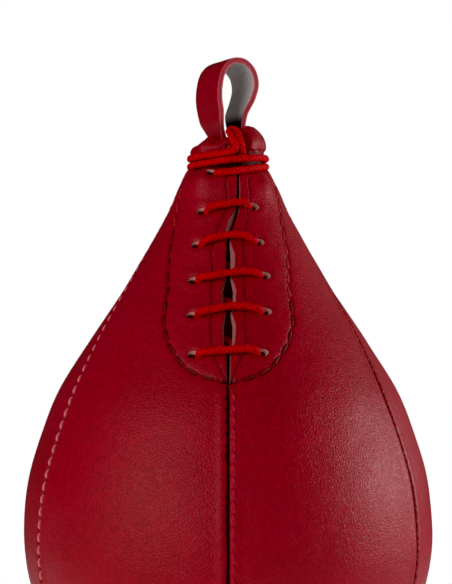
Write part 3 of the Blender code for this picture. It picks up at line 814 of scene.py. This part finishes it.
def make_panel(index, side, name):
    length, z, angle, from_first, from_last = panel_grid(index, side)
    radius = radius_at(length)
    below_tie = ease(SEAM_HIGH_Z, SEAM_LOW_Z, z)
    seam_below = ease(SLIT_TIP_Z + 1.0, SLIT_TIP_Z - 2.0, z) if index == 0 else below_tie
    near = np.minimum(from_last, np.where(seam_below > 0.5, from_first, np.inf))
    rolled = edge_roll(from_last) * below_tie + edge_roll(from_first) * seam_below
    rolled = rolled + edge_roll(length, TOP_EDGE_RADIUS) + 0.35 * bell(near - 2.6, 1.6)
    neck = neck_relief(side * angle, z)
    height = ripple(radius * angle * side + 40.0 * index, length) + neck + rolled
    # Painted shade: near-black along the panels' edges in the seam valleys, and on the neck under the tie's
    # wraps.
    painted_shade_under_tie = ease(-47.6, -46.0, z) * ease(-38.0, -39.6, z)
    painted_shade_and_lines = np.maximum(0.9 * bell(np.minimum(near, 9.0), 0.45), 0.75 * painted_shade_under_tie)
    lean = 0.0 * z
    if index == 0:
        # The front panels add the painted shade of stitch grooves, needle holes and lace holes.
        edge, edge_painted_shade, lean = slit_edge(side, from_first, length, seam_below)
        front, front_painted_shade = front_relief(side, side * radius * angle, length, z)
        height = height + edge + front
        painted_shade_and_lines = np.maximum(painted_shade_and_lines, np.maximum(edge_painted_shade, front_painted_shade))
    outer = surface(length, side * (angle + lean / radius), height)
    inner = surface(length, side * angle, neck - LEATHER_THICKNESS)
    for grid in (outer, inner):
        grid[..., 2] += shoulder_lift(side * angle, z)
    panel = shell_mesh(name, outer, inner, painted_shade_and_lines, index == 0, side > 0)
    if index == 0:
        punch_holes(panel, side)
    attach(panel, "bag")
    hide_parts(name)


HOLE_HALF_WIDTH = 2.9
HOLE_HALF_HEIGHT = 1.75
HOLE_OUTWARD = 1.7
HOLE_REACH_OUT = 1.4
HOLE_REACH_IN = 2.3
HOLE_TOP = 1.36
HOLE_BOTTOM = 0.42
HOLE_SLANT = {-1: 0.75, 1: 0.0}


def punch_holes(panel, side):
    """Cut the oval lace holes; their walls show the undyed leather, in a paler copy of the cut edge: painted
    light in the shaded holes.
    """
    bm = bmesh.new()
    for across, z in hole_places(side):
        at = side * (across + HOLE_OUTWARD)
        middle = throat(at, z, 0.0)
        out = (throat(at, z, 1.0) - middle).normalized()
        sideways = (throat(at + 1.0, z, 0.0) - middle).normalized()
        turn = Matrix((sideways, out.cross(sideways), out)).transposed()
        made = bmesh.ops.create_cone(
            bm, cap_ends=True, segments=28, radius1=HOLE_BOTTOM, radius2=HOLE_TOP,
            depth=HOLE_REACH_OUT + HOLE_REACH_IN,
        )
        for vertex in made["verts"]:
            x, y, up = vertex.co
            up += (HOLE_REACH_OUT - HOLE_REACH_IN) / 2.0
            place = Vector((x * HOLE_HALF_WIDTH + up * HOLE_SLANT[side], y * HOLE_HALF_HEIGHT, up))
            vertex.co = (middle + turn @ place) * MM
    bmesh.ops.recalc_face_normals(bm, faces=bm.faces)
    mesh = bpy.data.meshes.new("hole_cutter")
    bm.to_mesh(mesh)
    bm.free()
    # The walls take the paler copy of the cut edge: painted light.
    mesh.materials.append(MATERIALS["rim"])
    cutter = link("hole_cutter", mesh)
    modifier = panel.modifiers.new("holes", "BOOLEAN")
    modifier.operation = "DIFFERENCE"
    modifier.solver = "EXACT"
    modifier.material_mode = "TRANSFER"
    modifier.object = cutter
    apply_modifiers(panel)
    bpy.data.objects.remove(cutter)


# ---------- stitches

FACING_PITCH = 7.0
FACING_SHARE = 0.84
SLIT_PITCH = 3.8
SLIT_SHARE = 0.72
SEAM_PITCH = 5.2
CENTRE_PITCH = 4.7
STITCH_RINGS = 9
STITCH_SIDES = 8
THREAD_PLY = 0.13
THREAD_TWIST = 0.875


def stitch_body(start, end, out, radius, sink):
    """One stitch: a twisted thread from hole to hole, its ends diving into the leather."""
    along = end - start
    length = along.length
    along = along.normalized()
    sideways = out.cross(along).normalized()
    vertices = []
    for t in np.linspace(0.0, 1.0, STITCH_RINGS).tolist():
        edge = abs(2.0 * t - 1.0)
        centre = start + along * (length * t) - out * (sink * edge ** 4)
        thick = radius * (1.0 - 0.45 * edge ** 6)
        for j in range(STITCH_SIDES):
            turn = 2.0 * math.pi * j / STITCH_SIDES
            ply = 1.0 + THREAD_PLY * math.cos(2.0 * turn - THREAD_TWIST * length * t / radius)
            offset = sideways * math.cos(turn) + out * math.sin(turn)
            vertices.append(centre + offset * thick * ply)
    return vertices, tube_faces(STITCH_RINGS, STITCH_SIDES)


def stitch_run(place, replaced, line_u, line_v, material, pitch, share, radius, depth, sink,
               sway=0.0, flat=False, painted_highlight_share=0.0):
    """Stitches along a line given by arc distances and lengths down the outline.

    Each is share of the pitch long, lies at depth and has ends that sink. Sway slants them. Flat
    measures the pitch on the unrolled leather. The first ones, painted_highlight_share of them all, are of a
    redder, brighter copy of the thread: painted highlight.
    """
    angles = line_u / radius_at(line_v)
    path = surface(line_v, angles, depth)
    higher = surface(line_v, angles, depth + 1.0)
    steps = np.linalg.norm(np.diff(path, axis=0), axis=1)
    if flat:
        steps = np.hypot(np.diff(line_u), np.diff(line_v))
    travelled = running_length(steps)
    count = int(travelled[-1] / pitch)

    def at(grid, distance):
        return Vector([np.interp(distance, travelled, grid[:, axis]) for axis in range(3)])

    bodies = []
    kinds = []
    for i in range(count):
        start = (i + 0.5 * (1.0 - share)) * pitch
        end = start + share * pitch
        a, b = at(path, start), at(path, end)
        out = (at(higher, (start + end) / 2.0) - at(path, (start + end) / 2.0)).normalized()
        aside = out.cross(b - a).normalized() * sway * pitch * 0.1
        bodies.append(stitch_body(a - aside, b + aside, out, radius, sink))
        # The first stitches take the painted-highlight copy of the thread.
        kinds += [int(i < painted_highlight_share * count)] * len(bodies[-1][1])
    materials = (material, "red_thread") if painted_highlight_share else (material,)
    item = add_mesh("stitches_" + place, *joined(bodies), materials, kinds)
    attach(item, "bag")
    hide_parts(replaced)


# Seam's place, the number of the seam and its side.
SEAMS = (
    ("side_left", 1, -1), ("side_right", 1, 1), ("back_left", 2, -1),
    ("back_right", 2, 1), ("back", 3, 1),
)
SEAM_TOP_Z = -50.5
SEAM_BOTTOM_Z = -289.0
SEAM_STITCH_DEPTH = 0.1
SEAM_STITCH_SINKING = 0.45
CENTRE_STITCH_ASIDE = 1.75


def make_seam_stitches():
    """Stitches of the seams; towards the neck they lie lower in the leather."""
    bottom = length_at(SEAM_BOTTOM_Z)
    for place, index, side in SEAMS:
        lengths = np.linspace(length_at(SEAM_TOP_Z), bottom, 220)
        z = height_at(lengths)
        stitch_run(
            place, "seam_thread_" + place, side * seam_angle(index, z) * radius_at(lengths), lengths,
            # The left side seam takes the paler copy of the thread: painted highlight.
            "pale_thread" if place == "side_left" else "thread", pitch=SEAM_PITCH, share=0.72, radius=0.64,
            depth=SEAM_STITCH_DEPTH - SEAM_STITCH_SINKING * ease(-145.0, -118.0, z), sink=0.55,
        )
    lengths = np.linspace(length_at(SLIT_TIP_Z - 1.5), bottom, 160)
    aside = CENTRE_STITCH_ASIDE * ease(6.0, 30.0, radius_at(lengths))
    stitch_run(
        "front", "seam_thread_front", aside, lengths, "bright_thread",
        pitch=CENTRE_PITCH, share=0.84, radius=0.68, depth=0.3, sink=0.8, sway=0.8,
    )


def make_throat_stitches():
    # Share of each facing line's stitches, from the top, in the painted-highlight thread.
    for side, place, painted_highlight_share in ((-1, "left", 0.2), (1, "right", 0.5)):
        line_u, line_v = facing_outline()
        stitch_run(
            "facing_" + place, "facing_thread_" + place, side * line_u, line_v, "dark_thread",
            pitch=FACING_PITCH, share=FACING_SHARE, radius=0.52, depth=-0.32, sink=0.7,
            sway=0.35, flat=True, painted_highlight_share=painted_highlight_share,
        )
        line_u, line_v = slit_stitch_line(side)
        line_u = side * line_u + slit_centre(height_at(line_v))
        stitch_run(
            "slit_" + place, "slit_thread_" + place, line_u, line_v, "fine_thread",
            pitch=SLIT_PITCH, share=SLIT_SHARE, radius=0.28, depth=-0.12, sink=0.4,
        )


# ---------- lace

def lace_bar(left, right, rise, came_from, goes_to):
    """Route of one crossing: up through the left hole, over the slit, down through the right hole."""
    into_left = left + (came_from - left).normalized() * LACE_BEND
    out_of_right = right + (goes_to - right).normalized() * LACE_BEND
    along = (right - left).normalized() * LACE_CLIMB
    over_left = (-SLIT_STITCH_WIDTH, left.y + rise * 0.6)
    over_slit = (0.0, ((left + right) / 2.0).y + rise)
    over_right = (SLIT_STITCH_WIDTH, right.y + rise * 0.6)
    stops = (
        (into_left, LACE_INSIDE), (left, LACE_IN_LINING), (left, LACE_IN_LEATHER),
        (left + along, LACE_OUTSIDE), (over_left, LACE_OVER_STITCH), (over_slit, LACE_ARCH),
        (over_right, LACE_OVER_STITCH), (right - along, LACE_OUTSIDE), (right, LACE_IN_LEATHER),
        (right, LACE_IN_LINING), (out_of_right, LACE_INSIDE), ((right + goes_to) / 2.0, LACE_CROSSING),
    )
    return [throat(*place, depth) for place, depth in stops]


# From the top left hole up to the tie: degrees from the front, height and radius.
CLIMB_TO_TIE = (
    (-7, -48.5, 21.5), (4, -48.0, 21.0), (16, -47.3, 19.8), (37, -46.2, 18.4), (62, -45.0, 17.0),
)
# From the tie up between the strap's legs and back down.
DOUBLED_END = (
    (-9.5, -13.9, -40.5), (-4.6, -16.5, -40.2), (-0.4, -18.0, -39.7), (2.4, -18.9, -38.9),
    (3.3, -19.3, -37.4), (2.9, -18.9, -35.8), (1.9, -17.4, -33.6), (0.8, -15.0, -31.3),
    (0.4, -12.8, -29.7), (1.9, -11.5, -29.0), (3.5, -12.9, -29.8), (4.4, -15.6, -31.8),
    (5.2, -17.3, -34.6), (5.9, -17.2, -37.2), (6.2, -15.9, -39.2), (6.2, -14.95, -41.6),
)


def lace_tie():
    """Route from the top left hole twice round the neck, then up and back down as a doubled end."""
    across, z = TOP_HOLE
    points = [throat(-across, z, LACE_IN_LINING), throat(-across, z, LACE_IN_LEATHER)]
    points += [around(radius, math.radians(angle), z) for angle, z, radius in CLIMB_TO_TIE]
    for angle in range(*TIE_DEG, TIE_STEP_DEG):
        lift = ease(*TIE_CROSSING_DEG, angle)
        z = TIE_LOW_Z + (TIE_HIGH_Z - TIE_LOW_Z) * lift
        radius = TIE_RADIUS + TIE_BULGE * bell(angle - TIE_BULGE_DEG, TIE_BULGE_WIDTH_DEG)
        points.append(around(radius, math.radians(angle), z))
    return points + [Vector(place) for place in DOUBLED_END]


def lace_route():
    top, *lefts = [Vector((-across, z)) for across, z in hole_places(-1)]
    lefts.append(top)
    rights = [Vector(place) for place in hole_places(1)]
    knot = lefts[0] - Vector((0.0, KNOT_DROP))
    points = [throat(knot.x, knot.y + KNOT_RADIUS + SEAM_GAP, LACE_INSIDE)]
    rises = [row[4] for row in LACE_ROWS]
    for left, right, rise, came_from, goes_to in zip(lefts, rights, rises, [knot] + rights, lefts[1:]):
        points += lace_bar(left, right, rise, came_from, goes_to)
    into_top = lefts[-1] + (rights[-1] - lefts[-1]).normalized() * LACE_BEND
    points.append(throat(*into_top, LACE_INSIDE))
    return points + lace_tie()


BRAID_PITCH = 9.5
BRAID_STEP = 0.5
STRANDS_EACH_WAY = 4
STRAND_CIRCLE = 1.14
STRAND_WEAVE = 0.15
STRAND_HALF_WIDTH = 0.66
STRAND_HALF_THICKNESS = 0.34
STRAND_SIDES = 7
CORE_RADIUS = 1.05
CORE_SIDES = 10


def carried_frames(points):
    """Sideways and upward directions carried along a path without twist."""
    tangents = unit(np.gradient(points, axis=0))
    side = np.cross(tangents[0], (0.0, 0.0, 1.0))
    sides = []
    for tangent in tangents:
        side = side - tangent * np.dot(side, tangent)
        side /= np.linalg.norm(side)
        sides.append(side)
    sides = np.array(sides)
    return sides, np.cross(tangents, sides)


def swept(points, half_width, half_thickness, wide, thin, sides):
    """Vertices and faces of a tube of oval section along a path."""
    turns = np.linspace(0.0, 2.0 * np.pi, sides, endpoint=False)
    ring = wide[:, None, :] * np.cos(turns)[None, :, None] * half_width
    ring += thin[:, None, :] * np.sin(turns)[None, :, None] * half_thickness
    return (points[:, None, :] + ring).reshape(-1, 3), tube_faces(len(points), sides, flip=True)


def braided_cord(name, route):
    """A round braid: strands wind both ways round a core, passing over and under each other."""
    knots, at = smooth_curve(route)
    count = int(knots[-1] / BRAID_STEP)
    points = np.array([at(knots[-1] * i / count) for i in range(count + 1)])
    steps = np.linalg.norm(np.diff(points, axis=0), axis=1)
    travelled = running_length(steps)
    across, up = carried_frames(points)
    bodies = [swept(points, CORE_RADIUS, CORE_RADIUS, across, up, CORE_SIDES)]
    # The core takes the full painted shade between the strands.
    painted_shade_and_lines = [np.ones(len(bodies[0][0]))]
    turns = np.linspace(0.0, 2.0 * np.pi, STRAND_SIDES, endpoint=False)
    for way, strand in [(way, strand) for way in (1, -1) for strand in range(STRANDS_EACH_WAY)]:
        turn = way * 2.0 * np.pi * travelled / BRAID_PITCH + 2.0 * np.pi * strand / STRANDS_EACH_WAY
        weave = way * np.cos(2.0 * np.pi * travelled * STRANDS_EACH_WAY / BRAID_PITCH + np.pi * strand)
        radial = across * np.cos(turn)[:, None] + up * np.sin(turn)[:, None]
        centre = points + radial * (STRAND_CIRCLE + STRAND_WEAVE * weave)[:, None]
        wide = unit(np.cross(unit(np.gradient(centre, axis=0)), radial))
        bodies.append(swept(centre, STRAND_HALF_WIDTH, STRAND_HALF_THICKNESS, wide, radial, STRAND_SIDES))
        # Painted shade on each strand where it passes under another and on its side towards the core.
        low = np.clip(0.35 - 0.35 * weave[:, None] - 0.4 * np.sin(turns)[None, :], 0.0, 1.0)
        painted_shade_and_lines.append(low.reshape(-1))
    return add_mesh(name, *joined(bodies), ("lace",), None, np.concatenate(painted_shade_and_lines))


def make_lace():
    cord = braided_cord("braided_lace", lace_route())
    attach(cord, "bag")
    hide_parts("lace")


# ---------- hanging strap

# The strap's centreline from the left tail over the top to the right tail, in the loop's plane, with
# the reach of its front and back edges along the strap's width.
STRAP_STATIONS = (
    (-5.2, -56.0, 5.0, 5.0), (-5.4, -33.0, 5.0, 5.4), (-6.7, -28.6, 5.8, 7.6),
    (-8.0, -25.0, 8.4, 9.3), (-8.7, -21.0, 9.8, 10.0), (-9.6, -16.0, 10.0, 10.0),
    (-9.4, -10.0, 10.0, 10.0), (-7.6, -3.6, 10.0, 10.0), (-3.9, 0.35, 10.0, 10.0),
    (0.0, 1.3, 10.0, 10.0), (4.0, 0.35, 10.0, 10.0), (7.6, -3.4, 10.0, 10.0),
    (8.8, -9.0, 10.0, 10.0), (7.4, -15.0, 9.2, 10.0), (5.4, -20.8, 6.8, 10.0),
    (5.1, -25.0, 5.6, 8.4), (5.2, -29.0, 5.0, 5.8), (5.2, -34.0, 5.0, 5.0),
    (5.2, -56.0, 5.0, 5.0),
)


STRAP_STEPS = 170
STRAP_TAIL_WIDTH = 20.0
STRAP_EDGE_SHARE = 0.97
STRAP_EDGE_DEGREES = (60, 35, 12, -12, -35, -60)
STRAP_FACE_STEPS = 12
NECK_SHADE_LOW_Z = -25.0
NECK_SHADE_HIGH_Z = -20.0


def strap_section():
    """Outline of the rounded section, from -1 to 1 in width and in thickness."""
    shape = []
    for i in range(STRAP_FACE_STEPS + 1):
        shape.append((STRAP_EDGE_SHARE * (2.0 * i / STRAP_FACE_STEPS - 1.0), 1.0))
    for degrees in STRAP_EDGE_DEGREES:
        angle = math.radians(degrees)
        shape.append((STRAP_EDGE_SHARE + 0.03 * math.cos(angle), math.sin(angle) * 1.02))
    return shape + [(-w, -t) for w, t in shape]


def strap_shade_and_lines(width, thick, z):
    """Darkness: a crease beside each edge, the line between the plies, and painted shade inside the neck."""
    crease = 0.5 * bell(abs(width) - 0.86, 0.02) if abs(thick) > 0.99 else 0.0
    ply = 0.8 if abs(width) > 0.99 and abs(thick) < 0.3 else 0.0
    # Painted shade on the flesh side where the strap runs into the neck.
    shade = 1.0 - ease(NECK_SHADE_LOW_Z, NECK_SHADE_HIGH_Z, z) if thick < -0.9 else 0.0
    return max(crease, ply, shade)


def strap_points(section):
    """The section carried along the stations, cupped where the strap is pinched, and its darkness: lines and
    painted shade.
    """
    knots, at = smooth_curve([Vector((x, z)) for x, z, _, _ in STRAP_STATIONS])
    turn = Matrix.Rotation(math.radians(LOOP_TURN_DEG), 3, "Z")
    vertices = []
    painted_shade_and_lines = []
    for i in range(STRAP_STEPS + 1):
        length = knots[-1] * i / STRAP_STEPS
        point = at(length)
        step = at(min(length + 0.2, knots[-1])) - at(max(length - 0.2, 0.0))
        normal = Vector((-step.y, step.x)).normalized()
        front, back = (np.interp(length, knots, [row[c] for row in STRAP_STATIONS]) for c in (2, 3))
        cup = 2.0 * (1.0 - min(1.0, (front + back) / STRAP_TAIL_WIDTH))
        for width, thick in section:
            reach = width * (back if width > 0 else front)
            soft = 1.0 - max(0.0, abs(width) - 0.9)
            bow = cup * (width * width - 0.35)
            place = point + normal * (thick * STRAP_THICKNESS / 2.0 * soft - bow)
            vertices.append(turn @ Vector((place.x, reach, place.y)))
            painted_shade_and_lines.append(strap_shade_and_lines(width, thick, place.y))
    return vertices, painted_shade_and_lines


def strap_kinds(section):
    """Kind of each face of the strap: 0 outside, 1 cut edge, 2 flesh side."""
    ring = []
    for here, there in zip(section, section[1:] + section[:1]):
        on_edge = min(abs(here[0]), abs(there[0])) >= STRAP_EDGE_SHARE
        inner = max(here[1], there[1]) < -0.99
        ring.append(1 if on_edge else 2 if inner else 0)
    return ring * STRAP_STEPS + [1, 1]


def make_strap():
    section = strap_section()
    vertices, painted_shade_and_lines = strap_points(section)
    faces = tube_faces(STRAP_STEPS + 1, len(section))
    materials = ("strap", "strap_edge", "flesh")
    strap = add_mesh("hanging_strap", vertices, faces, materials, strap_kinds(section), painted_shade_and_lines)
    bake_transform(strap)
    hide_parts("hanging_loop", "loop_tail_left", "loop_tail_right")


# ---------- carried-over CAD pieces

CAD_LOOKS = (
    ("lining_", "lining"), ("seam_tape_", "tape"), ("facing_left", "split"), ("facing_right", "split"),
    ("tongue", "tongue"), ("bladder", "bladder"), ("valve_", "valve"), ("lace_stopper_knot", "lace"),
)


def finish_cad_nodes():
    """Materials for the CAD pieces that show as they are, found by the start of their names."""
    for name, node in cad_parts.items():
        for start, key in CAD_LOOKS:
            if name.startswith(start):
                for slot in node.material_slots:
                    slot.material = MATERIALS[key]


# ---------- stage, light and camera

CAMERA_DISTANCE = 580.0
CAMERA_HEIGHT = -99.3
CAMERA_SIDE = -0.9
CAMERA_LENS = 81.2
FLOOR_Z = -1.05
FLOOR_RADIUS = 3.3
FLOOR_GLOW = 0.38
LIGHT_TARGET = (0.0, 0.0, -0.15)
DOME_SOFTLIGHT = 0.24
DOME_REFLECTION = 0.03
BLACK_LEVEL = 0.0045


def make_camera():
    data = bpy.data.cameras.new("camera")
    data.lens = CAMERA_LENS
    data.sensor_width = 36.0
    data.clip_start = 0.01
    data.clip_end = 50.0
    camera = link("camera", data)
    camera.location = (CAMERA_SIDE * MM, -CAMERA_DISTANCE * MM, CAMERA_HEIGHT * MM)
    camera.rotation_euler = (math.radians(90.0), 0.0, 0.0)
    bpy.context.scene.camera = camera


def area_light(name, direction, distance, width, height, power):
    """A plain white softbox that faces the middle of the bag; sizes are in metres."""
    target = Vector(LIGHT_TARGET)
    data = bpy.data.lights.new(name, "AREA")
    data.shape = "RECTANGLE"
    data.size = width
    data.size_y = height
    data.energy = power
    light = link(name, data)
    light.location = target + Vector(direction).normalized() * distance
    light.rotation_euler = (target - light.location).to_track_quat("-Z", "Y").to_euler()


def make_lights():
    area_light("left_softbox", (-0.60, -0.72, 0.24), 1.3, 0.75, 0.52, 9.2)
    area_light("right_softbox", (0.93, 0.12, 0.13), 1.2, 0.40, 0.46, 11.5)
    area_light("right_back_panel", (0.62, 0.72, 0.30), 1.5, 0.9, 1.2, 0.6)


def make_world():
    """White behind the object, soft light from all round, and a dark room to reflect."""
    world = bpy.data.worlds.new("studio")
    bpy.context.scene.world = world
    world.use_nodes = True
    tree = world.node_tree
    path = tree.nodes.new("ShaderNodeLightPath")
    total = 0.0
    for rays, strength in (("Diffuse", DOME_SOFTLIGHT), ("Glossy", DOME_REFLECTION), ("Camera", 1.0)):
        seen = path.outputs["Is {} Ray".format(rays)]
        total = math_node("MULTIPLY_ADD", seen, strength, total)
    set_inputs(tree.nodes["Background"], {"Color": WHITE, "Strength": total})


def make_floor():
    """Plain pale disc well below the bag; it glows a little, so that it stays pale."""
    bm = bmesh.new()
    bmesh.ops.create_circle(bm, cap_ends=True, segments=96, radius=FLOOR_RADIUS)
    mesh = bpy.data.meshes.new("floor")
    bm.to_mesh(mesh)
    bm.free()
    made, shader, place = new_material("pale_floor")
    colour = ramp(noise(place, 3.0, 2.0), (0.86, 0.86, 0.86), (0.9, 0.9, 0.9))
    glow = {"Emission Color": WHITE, "Emission Strength": FLOOR_GLOW}
    set_inputs(shader, {"Base Color": colour, "Roughness": 0.9, **glow})
    mesh.materials.append(made)
    floor = link("floor", mesh)
    floor.location = (0.0, 0.0, FLOOR_Z)


def deepen_blacks():
    """Plain view transform, with the darkest tones taken down to black."""
    view = bpy.context.scene.view_settings
    view.view_transform = "Standard"
    view.use_curve_mapping = True
    view.curve_mapping.black_level = (BLACK_LEVEL, BLACK_LEVEL, BLACK_LEVEL)
    view.curve_mapping.update()


def main():
    make_camera()
    make_world()
    make_lights()
    make_floor()
    deepen_blacks()
    for side, place in ((-1, "left"), (1, "right")):
        for index, part in enumerate(("front", "side", "back")):
            make_panel(index, side, "panel_{}_{}".format(part, place))
    make_seam_stitches()
    make_throat_stitches()
    make_lace()
    make_strap()
    finish_cad_nodes()


main()
